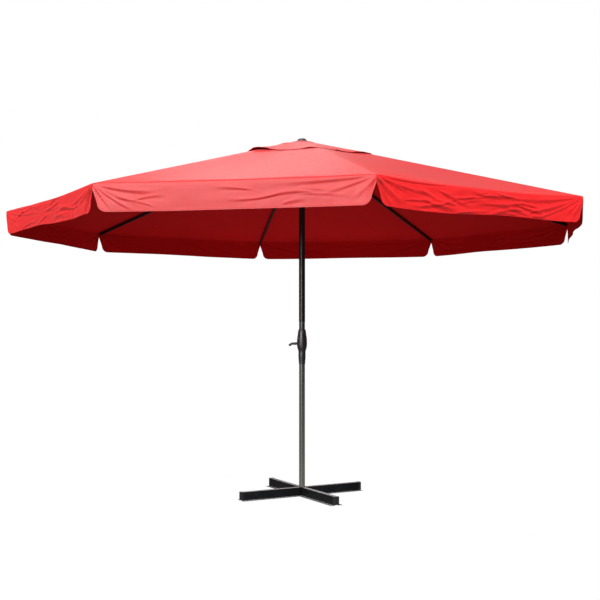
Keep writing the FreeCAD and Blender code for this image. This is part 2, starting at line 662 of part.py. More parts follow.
def crown_patch():
    """The eight-sided reinforcing patch at the top, with a hole for the finial's washer."""
    top = apex_z + crown_lift
    rims = []
    for drop in (0, fabric):
        z = top - drop - ridge_fall * crown_radius
        angles = [radians(step_angle * k) for k in range(rib_count)]
        rims.append([Vector(crown_radius * cos(a), crown_radius * sin(a), z) for a in angles])
    upper, lower = rims
    upper_apex, lower_apex = Vector(0, 0, top), Vector(0, 0, top - fabric)
    faces = []
    for k in range(rib_count):
        n = (k + 1) % rib_count
        for corners in (
            [upper[k], upper[n], upper_apex],
            [lower[n], lower[k], lower_apex],
            [lower[k], lower[n], upper[n], upper[k]],
        ):
            faces.append(Part.Face(Part.makePolygon([*corners, corners[0]])))
    patch = Part.makeSolid(Part.makeShell(faces))
    return patch.cut(rod(washer_step + 1, Vector(0, 0, top - 40), Vector(0, 0, top + 1)))


def canopy():
    solids = []
    for side in (1, -1):
        solids.append(half_panel(opening_radius, canopy_radius, 0, side))
        solids.append(half_valance(side))
        solids.append(half_panel(crown_inner, vent_radius, flap_lift, side))
    for k in range(rib_count):
        save(f"canopy_{k + 1}", *(turned(s, step_angle * k) for s in solids))
    save("crown_patch", crown_patch())


base()
poles()
housing()
crank()
hub()
runner()
links()
canopy()

print(f"hub pivot z {hub_pivot_z:.3f}, runner pivot z {runner_pivot_z:.3f}, link slope {link_slope:.4f}")
print(f"open slope {open_slope:.4f}, fold {fold_angle:.4f}, strut pivot along the rib {along_rib:.3f}")
print(f"travel {runner_travel:.2f}, crank turns {crank_turns:.4f}")
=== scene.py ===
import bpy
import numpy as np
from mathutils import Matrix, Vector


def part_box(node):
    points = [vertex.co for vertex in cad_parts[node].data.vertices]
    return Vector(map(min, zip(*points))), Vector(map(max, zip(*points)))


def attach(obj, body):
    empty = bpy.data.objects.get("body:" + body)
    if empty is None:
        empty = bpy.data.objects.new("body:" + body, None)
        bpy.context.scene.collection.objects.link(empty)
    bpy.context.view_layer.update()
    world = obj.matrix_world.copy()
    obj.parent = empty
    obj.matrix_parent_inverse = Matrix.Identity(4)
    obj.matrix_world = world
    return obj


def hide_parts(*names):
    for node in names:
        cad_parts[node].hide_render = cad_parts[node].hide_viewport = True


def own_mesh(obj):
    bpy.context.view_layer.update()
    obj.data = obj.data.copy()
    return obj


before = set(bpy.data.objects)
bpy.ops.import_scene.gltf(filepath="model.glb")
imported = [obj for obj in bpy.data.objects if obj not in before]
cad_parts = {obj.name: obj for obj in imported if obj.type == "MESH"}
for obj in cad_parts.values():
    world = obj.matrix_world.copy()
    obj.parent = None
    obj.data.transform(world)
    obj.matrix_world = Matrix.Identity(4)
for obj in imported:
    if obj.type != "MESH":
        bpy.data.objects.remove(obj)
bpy.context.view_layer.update()        # brings the placed parts' matrices up to date

# Looks of a large octagonal market umbrella: camera, light, materials and the red cloth canopy.
# Metres, +Z up, origin on the ground under the pole. Ribs and gores are counted from 0, every 45 degrees:
# rib 0 is the body rib_1, along +X. Gore g is the cloth between rib g and the next one, and a sector is the
# cloth around one rib, half of each gore beside it.

# ---- view ----
VIEW_AZIMUTH = np.radians(-100.86)
VIEW_DISTANCE = 8.698
EYE_HEIGHT = 1.446
AIM_HEIGHT = 1.698
AIM_LEFT = 0.0175
LENS = 59.66  # on a 36 mm sensor
AMBIENT = 0.33  # how brightly the surround lights the object from above
GROUND_GLOW = 0.09  # and from the horizon down
HORIZON_BAND = 0.35  # how far up from the horizon the one passes into the other
FLOOR_RADIUS = 13.0
CANOPY_MIDDLE = Vector((0, 0, 2.2))  # where the lights aim

# ---- canopy ----
RIBS = 8
STEP = 2 * np.pi / RIBS
HALF = STEP / 2
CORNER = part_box("canopy_1")[1].x  # pole axis to a corner of the canopy
VALANCE = 0.195  # its height
RIM_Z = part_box("canopy_1")[0].z + VALANCE
FALL = 0.272  # drop of a ridge for each metre out from the pole
APEX_Z = RIM_Z + FALL * CORNER
EDGE_HALF = CORNER * np.sin(HALF)  # half the length of one side of the canopy
OPENING = 0.350  # corner radius of the hole under the vent flap
FLAP_INNER, FLAP_OUTER = 0.100, 0.700  # corner radii of the vent flap
FLAP_LIFT = 0.003  # how far it lies above the canopy
CROWN_LIFT, CROWN_OUTER, CROWN_HOLE = 0.0055, 0.120, 0.031  # lift, corner radius, the hole's half width
# a corner's notch: how far below the fold it ends, its half width, and the radius that rounds its foot
NOTCH_TOP, NOTCH_HALF, NOTCH_ROUND = 0.041, 0.032, 0.062
CLOTH = 0.001  # thickness
HEM, HEM_EXTRA = 0.014, 0.0009  # width of a hem or sewn edge, and what it adds to the thickness
HEM_STEP = 0.0015  # width over which the thickness changes
THREADS = 350.0  # how fine the weave is
STITCH_FROM_EDGE, STITCH_PITCH = 0.011, 0.0042
RIM_PULL = 0.010  # how far the rim is drawn inwards at the middle of a side
FOLD_HEIGHT = 0.0085  # of the strongest creases
RIDGE_ROUND = 0.035  # how gently the cloth bends over a rib
CLOSED_WIDTH = 0.24  # share of a sector's width left when the ribs are folded
FLAP_CLOSED_WIDTH = 0.40  # the same for the vent flap

# heights of the panels' long waves and tension lines, of the valance's crumple and its swing in and out, and
# how far the valance's foot leans in at the middle of a side
PANEL_WAVE, TENSION, CRUMPLE, SWING, LEAN_IN = 0.0018, 0.0020, 0.0011, 0.0075, 0.012
FLAP_RUFFLE, FLAP_PULL = 0.0018, 0.006  # unevenness of the flap's edge, and how far its middle is drawn in
# seeds of the random patterns; each gore adds its own number
CREASE_SEED, CRUMPLE_SEED, WAVE_SEED, SWING_SEED, FLAP_SEED = 300, 50, 70, 90, 130

# In the lists below, a place across a gore runs from -1 at one rib to 1 at the next, and a half width is
# counted in the same way. First each gore's own character: the sag of its rim, how creased its valance is,
# and the place where the valance is gathered up and by what share.
RIM_SAG = [0.008, 0.010, 0.006, 0.008, 0.011, 0.005, 0.024, 0.010]
CREASING = [0.7, 0.5, 0.6, 0.65, 1.05, 0.5, 1.3, 0.7]
GATHERED = [
    (0.2, 0.04), (-0.1, 0.03), (0.3, 0.04), (0.0, 0.03),
    (-0.35, 0.13), (0.2, 0.01), (0.25, 0.14), (-0.2, 0.05),
]
# Where the vent flap's edge stands off the canopy: gore, place, half width, and height in millimetres above
# the rest of the edge, which is at FLAP_STAND.
FLAP_STAND = -0.4
FLAP_LIFTED = [
    (0, -0.5, 0.45, 9), (0, 0.7, 0.35, 13), (1, -0.1, 0.5, 12), (1, 0.9, 0.3, 8), (2, 0.1, 0.6, 14),
    (3, -0.6, 0.4, 10), (3, 0.5, 0.4, 13), (4, -0.4, 0.5, 12), (4, 0.95, 0.45, 12), (5, -0.8, 0.40, 14),
    (5, 0.72, 0.22, 8), (6, -0.25, 0.22, 8), (6, 0.60, 0.35, 12), (7, -0.5, 0.4, 9), (7, 0.5, 0.5, 12),
]
# Where the slack flap puffs up: gore, place, half width, corner radius, and height in millimetres.
PUFF_LENGTH = 0.07  # half a puff's length down the slope
FLAP_PUFFED = [
    (5, -1.0, 0.5, 0.27, 9), (4, -0.2, 0.6, 0.40, 6), (6, 0.0, 0.4, 0.45, 5), (1, 0.4, 0.6, 0.36, 6),
]


# ---- shader helpers ----
class Shader:
    """A Principled material, with short calls that add nodes to it."""

    MIX_SHARE, MIX_FIRST, MIX_SECOND, MIX_COLOUR = 0, 6, 7, 2  # sockets of a mix node when it mixes colours

    def __init__(self, name, **sockets):
        self.material = bpy.data.materials.new(name)
        self.material.use_nodes = True
        self.tree = self.material.node_tree
        self.surface = self.tree.nodes["Principled BSDF"]
        for socket, value in sockets.items():
            self.surface.inputs[socket.replace("_", " ")].default_value = value
        self.place = self.add("ShaderNodeTexCoord").outputs["Object"]

    def add(self, kind, inputs=None, **settings):
        node = self.tree.nodes.new(kind)
        for name, value in settings.items():
            setattr(node, name, value)
        for name, value in (inputs or {}).items():
            self.plug(value, node.inputs[name])
        return node

    def plug(self, value, socket):
        """Links an output to the socket, or sets its constant."""
        if isinstance(value, bpy.types.NodeSocket):
            self.tree.links.new(value, socket)
        else:
            socket.default_value = value

    def noise(self, scale, detail, stretch=(1, 1, 1), place=None, roughness=0.55):
        spread = self.add("ShaderNodeMapping", {"Vector": place or self.place, "Scale": stretch})
        inputs = {"Vector": spread.outputs[0], "Scale": scale, "Detail": detail, "Roughness": roughness}
        return self.add("ShaderNodeTexNoise", inputs).outputs[0]

    def math(self, operation, first, second=0.0):
        return self.add("ShaderNodeMath", {0: first, 1: second}, operation=operation).outputs[0]

    def span(self, value, low, high, to_low=0.0, to_high=1.0):
        """The value carried from one range to another, clamped."""
        inputs = {"Value": value, "From Min": low, "From Max": high, "To Min": to_low, "To Max": to_high}
        return self.add("ShaderNodeMapRange", inputs).outputs[0]

    def blend(self, share, first, second):
        """The first colour where the share is 0, the second where it is 1."""
        inputs = {self.MIX_SHARE: share, self.MIX_FIRST: first, self.MIX_SECOND: second}
        return self.add("ShaderNodeMix", inputs, data_type="RGBA").outputs[self.MIX_COLOUR]

    def bump(self, height, distance, strength, under=None):
        inputs = {"Height": height, "Distance": distance, "Strength": strength}
        if under is not None:
            inputs["Normal"] = under
        return self.add("ShaderNodeBump", inputs).outputs[0]

    def finish(self, colour, roughness=None, normal=None):
        for value, socket in ((colour, "Base Color"), (roughness, "Roughness"), (normal, "Normal")):
            if value is not None:
                self.plug(value, self.surface.inputs[socket])
        return self.material


def rgb(red, green, blue):
    return (red, green, blue, 1.0)


# grey that level faces are blended towards: partly settled dust, partly a painted reflection of the bright
# surround on tops facing up
DUST_AND_SHEEN_GREY = rgb(0.42, 0.42, 0.43)


def wear_at_edges(shader, radius, low, high):
    """From 0 on the flats to 1 on the edges that handling rubs."""
    bevelled = shader.add("ShaderNodeBevel", {"Radius": radius}, samples=4).outputs[0]
    facing = shader.add("ShaderNodeNewGeometry").outputs["Normal"]
    turn = shader.add("ShaderNodeVectorMath", {0: bevelled, 1: facing}, operation="DOT_PRODUCT")
    patchy = shader.noise(35.0, 4.0)
    edge = shader.span(turn.outputs["Value"], 0.995, 0.93)
    return shader.math("MULTIPLY", edge, shader.span(patchy, low, high))


# ---- materials ----
def cloth_material(name, gloss, roughness):
    """Woven polyester: a fine plain weave, slubs, soft crumple, and a row of stitches along sewn edges."""
    s = Shader(name, Sheen_Weight=0.3 * gloss, Sheen_Roughness=0.45, Specular_IOR_Level=gloss)
    s.surface.inputs["Sheen Tint"].default_value = rgb(1.0, 0.72, 0.70)
    cloth = s.add("ShaderNodeUVMap", uv_map="cloth").outputs[0]
    warp = s.add("ShaderNodeTexWave", {"Vector": cloth, "Scale": THREADS}, bands_direction="X").outputs[1]
    weft = s.add("ShaderNodeTexWave", {"Vector": cloth, "Scale": THREADS}, bands_direction="Y").outputs[1]
    weave = s.math("ADD", warp, weft)
    slubs = s.noise(90.0, 2.0, (1, 0.04, 1), cloth)
    cross_slubs = s.noise(90.0, 2.0, (0.04, 1, 1), cloth)
    crumple = s.noise(14.0, 4.0, place=cloth, roughness=0.6)
    fade = s.noise(1.3, 2.0)

    seam = s.add("ShaderNodeUVMap", uv_map="seam").outputs[0]
    split = s.add("ShaderNodeSeparateXYZ", {0: seam})
    off_line = s.math("ABSOLUTE", s.math("SUBTRACT", split.outputs[1], STITCH_FROM_EDGE))
    dash = s.math("FRACT", s.math("MULTIPLY", split.outputs[0], 1 / STITCH_PITCH))
    in_dash = s.span(s.math("ABSOLUTE", s.math("SUBTRACT", dash, 0.5)), 0.40, 0.30)
    stitch = s.math("MULTIPLY", s.span(off_line, 0.0008, 0.0004), in_dash)
    pucker = s.math("MULTIPLY", s.span(off_line, 0.006, 0.0), s.noise(260.0, 1.0, (1, 0.2, 1), seam))

    red = s.blend(s.span(fade, 0.3, 0.7), rgb(0.640, 0.0088, 0.0105), rgb(0.715, 0.0108, 0.0122))
    red = s.blend(s.math("MULTIPLY", s.span(slubs, 0.35, 0.8), 0.35), red, rgb(0.80, 0.020, 0.024))
    red = s.blend(s.math("MULTIPLY", s.span(cross_slubs, 0.35, 0.8), 0.30), red, rgb(0.56, 0.008, 0.010))
    red = s.blend(s.math("MULTIPLY", stitch, 0.6), red, rgb(0.86, 0.045, 0.045))
    threads = s.math("MULTIPLY", s.math("ADD", slubs, cross_slubs), 0.6)
    height = s.math("ADD", s.math("MULTIPLY", weave, 0.5), threads)
    soft = s.bump(crumple, 0.0030, 0.30)
    sewn = s.bump(s.math("ADD", s.math("MULTIPLY", stitch, 0.6), pucker), 0.0009, 0.8, soft)
    uneven_gloss = s.span(slubs, 0.2, 0.8, roughness - 0.05, roughness + 0.05)
    return s.finish(red, uneven_gloss, s.bump(height, 0.00022, 0.6, sewn))


def dust_and_sheen_on_level_faces(shader, patchy):
    """From 0 on walls to 1 on level faces, unevenly: partly where dust settles, partly a painted reflection
    of the bright surround that lightens tops facing up.
    """
    facing = shader.add("ShaderNodeSeparateXYZ", {0: shader.add("ShaderNodeNewGeometry").outputs["Normal"]})
    level = shader.span(facing.outputs[2], 0.75, 0.98)
    return shader.math("MULTIPLY", level, shader.span(patchy, 0.2, 0.6, 0.55, 1.0))


def powder_coat(name, dark, light, roughness, worn, streaks=(1, 1, 0.08), gloss=0.5, top_dust_and_sheen=0.0):
    """Painted steel: an orange-peel skin, faint streaks, paler rubbed edges, and on its level faces a grey
    that is partly dust and partly a painted reflection of the bright surround.
    """
    s = Shader(name, Specular_IOR_Level=gloss, Coat_Weight=0.3 * gloss, Coat_Roughness=0.25)
    peel = s.noise(420.0, 2.0)
    dust = s.noise(9.0, 5.0, streaks, roughness=0.65)
    colour = s.blend(s.span(dust, 0.35, 0.75), dark, light)
    rubbed = wear_at_edges(s, 0.0015, 0.42, 0.62)
    colour = s.blend(s.math("MULTIPLY", rubbed, 0.65), colour, worn)
    # painted reflection: level faces blended towards grey, partly settled dust and partly a painted sheen of
    # the bright surround
    if top_dust_and_sheen:
        colour = s.blend(s.math("MULTIPLY", dust_and_sheen_on_level_faces(s, dust), top_dust_and_sheen), colour, DUST_AND_SHEEN_GREY)
    rough = s.span(dust, 0.3, 0.8, roughness - 0.05, roughness + 0.10)
    return s.finish(colour, rough, s.bump(peel, 0.00025, 0.35))


def moulded_plastic(name, dark, light, roughness, top_dust_and_sheen=0.0):
    """Moulded nylon: a fine spark-eroded grain and a slightly uneven gloss."""
    s = Shader(name, Specular_IOR_Level=0.5)
    fine = s.noise(900.0, 2.0)
    broad = s.noise(22.0, 3.0)
    colour = s.blend(s.span(broad, 0.35, 0.7), dark, light)
    rubbed = wear_at_edges(s, 0.0008, 0.40, 0.60)
    colour = s.blend(s.math("MULTIPLY", rubbed, 0.35), colour, rgb(0.12, 0.115, 0.115))
    # painted reflection: level faces blended towards grey, partly settled dust and partly a painted sheen of
    # the bright surround
    if top_dust_and_sheen:
        colour = s.blend(s.math("MULTIPLY", dust_and_sheen_on_level_faces(s, broad), top_dust_and_sheen), colour, DUST_AND_SHEEN_GREY)
    rough = s.span(broad, 0.3, 0.7, roughness - 0.06, roughness + 0.06)
    return s.finish(colour, rough, s.bump(fine, 0.00012, 0.5))


def bare_metal(name, tint, shade, roughness):
    """Plated or turned metal with fine circular tool marks."""
    s = Shader(name, Metallic=1.0)
    marks = s.noise(700.0, 2.0, (1, 1, 0.15))
    stain = s.noise(60.0, 4.0)
    colour = s.blend(s.span(stain, 0.35, 0.75), tint, shade)
    rough = s.span(marks, 0.3, 0.7, roughness - 0.06, roughness + 0.08)
    return s.finish(colour, rough, s.bump(marks, 0.0001, 0.4))


def dress_frame():
    """Gives every CAD node its finish, by the kind of part it is."""
    frame_paint = powder_coat(
        "rib_paint", rgb(0.006, 0.0055, 0.006), rgb(0.012, 0.011, 0.012), 0.50, rgb(0.06, 0.06, 0.06)
    )
    upper = powder_coat(
        "upper_pole_paint", rgb(0.014, 0.011, 0.009), rgb(0.024, 0.019, 0.016), 0.45, rgb(0.10, 0.09, 0.08),
        gloss=0.30,
    )
    lower = powder_coat(
        "lower_pole_paint", rgb(0.088, 0.092, 0.077), rgb(0.132, 0.136, 0.116), 0.38, rgb(0.20, 0.20, 0.18)
    )
    # the base's level tops are lightened by dust together with a painted reflection of the bright surround
    base = powder_coat(
        "base_paint", rgb(0.0050, 0.0056, 0.0062), rgb(0.010, 0.011, 0.012), 0.36, rgb(0.30, 0.30, 0.30),
        streaks=(1, 1, 1), gloss=0.22, top_dust_and_sheen=0.8,
    )
    housing = moulded_plastic("housing_plastic", rgb(0.024, 0.021, 0.022), rgb(0.036, 0.032, 0.033), 0.48)
    black = moulded_plastic("black_plastic", rgb(0.008, 0.008, 0.0085), rgb(0.016, 0.016, 0.016), 0.45)
    # the end caps' level tops are lightened by dust together with a painted reflection of the bright surround
    cap = moulded_plastic(
        "end_cap_plastic", rgb(0.010, 0.010, 0.011), rgb(0.022, 0.022, 0.023), 0.42, top_dust_and_sheen=0.6
    )
    finial = moulded_plastic("finial_plastic", rgb(0.060, 0.058, 0.058), rgb(0.090, 0.086, 0.086), 0.26)
    steel = bare_metal("zinc_steel", rgb(0.62, 0.61, 0.58), rgb(0.45, 0.45, 0.44), 0.34)
    brass = bare_metal("bush_brass", rgb(0.75, 0.56, 0.25), rgb(0.60, 0.43, 0.18), 0.32)
    finishes = [
        (("base_end_caps",), cap),
        (("rib_fittings", "hub_", "runner", "hub", "cord_", "crank_arm", "crank_knob", "pole_foot"), black),
        (("rib_", "strut_"), frame_paint),
        (("upper_pole",), upper),
        (("lower_pole",), lower),
        (("base_beam", "base_plate"), base),
        (("crank_housing",), housing),
        (("finial",), finial),
        (("shaft_bushes",), brass),
    ]
    metal = (
        "hub_pins", "runner_pins", "pulley_pin", "knob_pin", "crank_shaft", "housing_screws", "centre_bolt"
    )
    for name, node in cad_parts.items():
        finish = steel
        if name not in metal:
            finish = next((material for starts, material in finishes if name.startswith(starts)), black)
        for slot in node.material_slots:
            slot.material = finish


# ---- cloth shapes ----
def smooth_step(value, start, end):
    share = np.clip((value - start) / (end - start), 0, 1)
    return share * share * (3 - 2 * share)


def to_frame(gore, x, y, z):
    """Turns points from a gore's own frame, where x runs outwards along its middle, to where the gore is."""
    azimuth = STEP * (gore + 0.5)
    placed_x = x * np.cos(azimuth) - y * np.sin(azimuth)
    placed_y = x * np.sin(azimuth) + y * np.cos(azimuth)
    return np.stack([placed_x, placed_y, z], -1)


def waves(seed, count, shortest, longest):
    """Random plane waves for a soft uneven surface: directions, wave numbers and phases."""
    rng = np.random.default_rng(seed)
    length = rng.uniform(shortest, longest, count)
    heading = rng.uniform(0, np.pi, count)
    phase = rng.uniform(0, 2 * np.pi, count)
    return 2 * np.pi / length * np.cos(heading), 2 * np.pi / length * np.sin(heading), phase


def uneven(field, along, across):
    """The waves' mean height at a place, from about -1 to 1."""
    total = sum(np.sin(kx * along + ky * across + phase) for kx, ky, phase in zip(*field))
    return total / np.sqrt(len(field[0]))


def corner_creases(rng, count):
    """Creases that fan out over the valance from a corner: start, heading, length, bend, width and height."""
    headings = np.radians(np.linspace(11, 56, count) + rng.uniform(-9, 9, count))
    lengths = np.minimum(0.20 / np.sin(headings), 0.75) * rng.uniform(0.6, 1.15, count)
    found = []
    for heading, length in zip(headings, lengths):
        bend = rng.uniform(-0.15, -0.03) / length
        found.append((0.0, 0.004, heading, length, bend, rng.uniform(0.007, 0.015), rng.uniform(0.4, 1.1)))
    return found


def loose_creases(rng, count):
    """Soft creases anywhere on the valance and just above its fold, mostly near level."""
    found = []
    for _ in range(count):
        side = rng.choice([-1, 1])
        start_down = rng.uniform(-0.01, 0.12) if side > 0 else rng.uniform(0.07, 0.20)
        start = (rng.uniform(0.20, 2 * EDGE_HALF - 0.45), start_down)
        heading, length = np.radians(side * rng.uniform(3, 24)), rng.uniform(0.16, 0.42)
        bend = -side * rng.uniform(0.1, 0.9)
        found.append((*start, heading, length, bend, rng.uniform(0.008, 0.015), rng.uniform(0.35, 0.9)))
    return found


def panel_creases(rng):
    """Long faint tension lines that run down from the ridge to the rim, and up the panel from its corner."""
    found = []
    for up, heading in ((0.50, 34), (0.28, 22), (0.02, -14), (0.02, -31)):
        turned = np.radians(heading + rng.uniform(-4, 4))
        length, width = rng.uniform(0.45, 0.8), rng.uniform(0.014, 0.022)
        found.append((0.01, -up, turned, length, 0.05, width, 1.0))
    return found


def crease_height(family, along, down):
    """Height of a family of creases, at a distance along the rim from its corner and below the fold."""
    total = np.zeros_like(along)
    for start_along, start_down, heading, length, bend, width, height in family:
        ahead, below = along - start_along, down - start_down
        run = ahead * np.cos(heading) + below * np.sin(heading)
        share = run / length
        spread = width * (0.55 + 0.9 * np.clip(share, 0, 1.2))
        off = (below * np.cos(heading) - ahead * np.sin(heading) - bend * run * np.abs(run)) / spread
        grow = smooth_step(share, 0.0, 0.22) * (1 - smooth_step(share, 0.55, 1.1))
        total += height * grow * (np.exp(-off * off) - 0.42 * np.exp(-((off - 1.6) ** 2)))
    return total


def gore_creases(gore):
    """All the creases of one gore, measured from its left corner and from its right corner."""
    rng = np.random.default_rng(CREASE_SEED + gore)
    fans, loose = round(3 + 2 * CREASING[gore]), round(2 + 6.5 * CREASING[gore] ** 2)
    return [(corner_creases(rng, fans), loose_creases(rng, loose), panel_creases(rng)) for _ in range(2)]


CREASES = [gore_creases(gore) for gore in range(RIBS)]


def belly(radius):
    """How far the cloth hangs below the flat panel at its middle, away from the rim."""
    return 0.020 * np.sin(np.pi * np.clip(radius / CORNER, 0, 1) ** 1.2)


def over_rib(across, radius):
    """The small lift that rounds off a ridge, so that the cloth bends over the rib and not on a line."""
    from_ridge = (1 - np.abs(across)) * radius * np.sin(HALF)
    return FALL * np.tan(HALF) * (RIDGE_ROUND + from_ridge - np.hypot(from_ridge, RIDGE_ROUND))


def between_ribs(across):
    """From 0 at the ribs to 1 at the middle of a gore."""
    return 1 - np.abs(across) ** 2.2


def gore_surface(gore, across, run):
    """Points of one gore. across is -1 and 1 at its two ribs; run is 0 at the rim's fold, negative up the
    panel and positive down the valance."""
    sag, creasing, middle = RIM_SAG[gore], CREASING[gore], between_ribs(across)
    bend_radius = 0.004 + 0.012 * creasing * middle
    soft = np.sqrt(run * run + bend_radius * bend_radius)
    up, down = (soft - run) / 2, (soft + run) / 2
    radius = CORNER - up
    share = radius / CORNER
    x, y = radius * np.cos(HALF), across * radius * np.sin(HALF)
    place, gather = GATHERED[gore]
    drop = down * (1 - gather * middle * np.exp(-(((across - place) / 0.5) ** 2)))
    hanging = middle * (sag * share**3 + middle * belly(radius))
    z = APEX_Z - FALL * radius + over_rib(across, radius) - hanging - drop
    x = x - RIM_PULL * middle * share**4

    along = across * EDGE_HALF
    from_left, from_right = EDGE_HALF + along, EDGE_HALF - along
    clear = smooth_step(np.minimum(from_left, from_right), 0.0, 0.16)
    on_valance = smooth_step(run, -0.05, 0.05)
    ridge_clear = smooth_step(np.minimum(from_left, from_right) * share, 0.0, 0.08)

    folds, faint = np.zeros_like(run), np.zeros_like(run)
    near_rim = run > -0.06
    for distance, (fans, loose, tension) in ((from_left, CREASES[gore][0]), (from_right, CREASES[gore][1])):
        folds[near_rim] += crease_height(fans + loose, distance[near_rim], run[near_rim])
        faint[~near_rim] += crease_height(tension, distance[~near_rim], run[~near_rim])
    crumple = uneven(waves(CRUMPLE_SEED + gore, 6, 0.09, 0.26), along, 1.3 * run) * clear
    long_waves = uneven(waves(WAVE_SEED + gore, 4, 0.45, 0.95), along, 0.5 * run) * clear
    swing = uneven(waves(SWING_SEED + gore, 3, 0.35, 0.80), along, 0.2 * run) * clear

    lean = np.clip(down / VALANCE, 0, 1)
    tight = TENSION * creasing * faint * ridge_clear
    on_panel = (PANEL_WAVE * long_waves * middle + tight) * (1 - on_valance)
    hang = (FOLD_HEIGHT * folds + CRUMPLE * crumple) * creasing * on_valance
    hang = hang + lean**1.3 * (SWING * swing * (0.5 + 0.5 * creasing) - LEAN_IN * middle)
    outwards = 0.27  # what rises on a sloping panel also moves outwards
    return to_frame(gore, x + outwards * on_panel + hang, y, z + on_panel)


def flap_stand(gore, across):
    """How far the vent flap's edge stands off the canopy at a place across a gore."""
    total = np.full(np.shape(across), FLAP_STAND)
    for lifted, place, half_width, height in FLAP_LIFTED:
        steps = (lifted - gore + RIBS // 2) % RIBS - RIBS // 2
        total = total + height * np.exp(-(((across - place - 2 * steps) / half_width) ** 2))
    return total / 1000


def flap_puff(gore, across, run):
    """How far the slack flap rises above the straight line between the crown and its edge."""
    total = np.zeros_like(run)
    for puffed, place, half_width, radius, height in FLAP_PUFFED:
        steps = (puffed - gore + RIBS // 2) % RIBS - RIBS // 2
        across_it, along_it = (across - place - 2 * steps) / half_width, (run - radius) / PUFF_LENGTH
        total = total + height * np.exp(-(across_it**2) - along_it**2)
    return total / 1000


def flap_surface(gore, across, run):
    """Points of the vent flap over one gore; run is the corner radius."""
    share = np.maximum(run - FLAP_INNER, 0) / (FLAP_OUTER - FLAP_INNER)
    soft_waves = uneven(waves(FLAP_SEED + gore, 4, 0.12, 0.30), across * run, 0.4 * run)
    ruffle = FLAP_RUFFLE * (1.4 + soft_waves) * (1 - across**2)
    hanging = share * between_ribs(across) ** 2 * belly(run)
    rise = FLAP_LIFT + share**3 * (flap_stand(gore, across) + ruffle) - hanging
    z = APEX_Z - FALL * run + over_rib(across, run) + flap_puff(gore, across, run) + rise
    x = run * np.cos(HALF) - FLAP_PULL * (1 - across**2) * share**2
    return to_frame(gore, x, across * run * np.sin(HALF), z)


def notch_outline():
    """The valance's free edge from a corner's notch to the middle of a side, as (along, down) points."""
    shoulder = VALANCE - NOTCH_ROUND
    turn = np.linspace(np.pi, np.pi / 2, 13)
    arc = np.stack([NOTCH_HALF + NOTCH_ROUND * (1 + np.cos(turn)), shoulder + NOTCH_ROUND * np.sin(turn)], -1)
    side = np.linspace((0, NOTCH_TOP), (NOTCH_HALF, shoulder), 12, endpoint=False)
    foot = np.linspace((NOTCH_HALF + NOTCH_ROUND, VALANCE), (EDGE_HALF, VALANCE), 90)[1:]
    return np.concatenate([side, arc, foot])


def from_outline(outline, along, down):
    """Length along the free edge and distance from it, for points of the valance."""
    lengths = np.concatenate([[0], np.cumsum(np.linalg.norm(np.diff(outline, axis=0), axis=1))])
    points = np.stack([along, down], -1)
    best = np.full(along.shape, np.inf)
    place = np.zeros(along.shape)
    for start, end, before in zip(outline, outline[1:], lengths):
        edge = end - start
        share = np.clip(((points - start) @ edge) / (edge @ edge), 0, 1)
        away = np.linalg.norm(points - start - share[..., None] * edge, axis=-1)
        nearer = away < best
        best = np.where(nearer, away, best)
        place = np.where(nearer, before + share * np.linalg.norm(edge), place)
    return place, best


def sheet_normals(surface, gore, across, run):
    """Unit normals of a surface, from points a little way off along both of its directions."""
    small = 2e-4
    by_across = surface(gore, across + small, run) - surface(gore, across - small, run)
    by_run = surface(gore, across, run + small) - surface(gore, across, run - small)
    normal = np.cross(by_run, by_across)
    return normal / np.linalg.norm(normal, axis=-1, keepdims=True)


def cloth_object(name, points, normals, thickness, cloth_uv, seam_uv, materials, loop=False):
    """A closed thin sheet from a grid of middle points, with its own normals, so that neighbours meet
    unseen. In a loop, the last column joins the first."""
    rows, columns = points.shape[:2]
    half = thickness[..., None] / 2 * normals
    vertices = np.concatenate([(points + half).reshape(-1, 3), (points - half).reshape(-1, 3)])
    count = rows * columns
    index = np.arange(count).reshape(rows, columns)
    ahead = np.roll(index, -1, axis=1)
    here = slice(None) if loop else slice(0, -1)
    around = [index[:-1, here], ahead[:-1, here], ahead[1:, here], index[1:, here]]
    quads = np.stack(around, -1).reshape(-1, 4)
    edges_from, edges_to = quads.ravel(), np.roll(quads, -1, axis=1).ravel()
    free = ~np.isin(edges_from * count + edges_to, edges_to * count + edges_from)
    rim, following = edges_from[free], edges_to[free]
    walls = np.stack([following, rim, rim + count, following + count], -1)
    faces = np.concatenate([quads[:, ::-1], quads + count, walls[:, ::-1]])

    mesh = bpy.data.meshes.new(name)
    mesh.from_pydata(vertices.tolist(), [], faces.tolist())
    corners = faces.reshape(-1)
    for layer, values in (("cloth", cloth_uv), ("seam", seam_uv)):
        flat = values.reshape(-1, 2)
        uv = mesh.uv_layers.new(name=layer)
        uv.data.foreach_set("uv", flat[corners % count].astype(np.float32).ravel())
    for material in materials:
        mesh.materials.append(material)
    inside = np.zeros(len(faces), np.int32)
    inside[len(quads) : 2 * len(quads)] = 1
    mesh.polygons.foreach_set("material_index", inside)
    mesh.shade_smooth()
    surface = normals.reshape(-1, 3)
    directions = np.where((corners < count)[:, None], surface[corners % count], -surface[corners % count])
    wall_from = len(quads) * 2
    edges = vertices[faces[wall_from:, 1]] - vertices[faces[wall_from:, 0]]
    sides = np.cross(edges, vertices[faces[wall_from:, 2]] - vertices[faces[wall_from:, 1]])
    sides = sides / np.maximum(np.linalg.norm(sides, axis=1, keepdims=True), 1e-12)
    directions[wall_from * 4 :] = np.repeat(sides, 4, axis=0)
    mesh.normals_split_custom_set(directions.tolist())
    made = bpy.data.objects.new(name, mesh)
    bpy.context.scene.collection.objects.link(made)
    return made


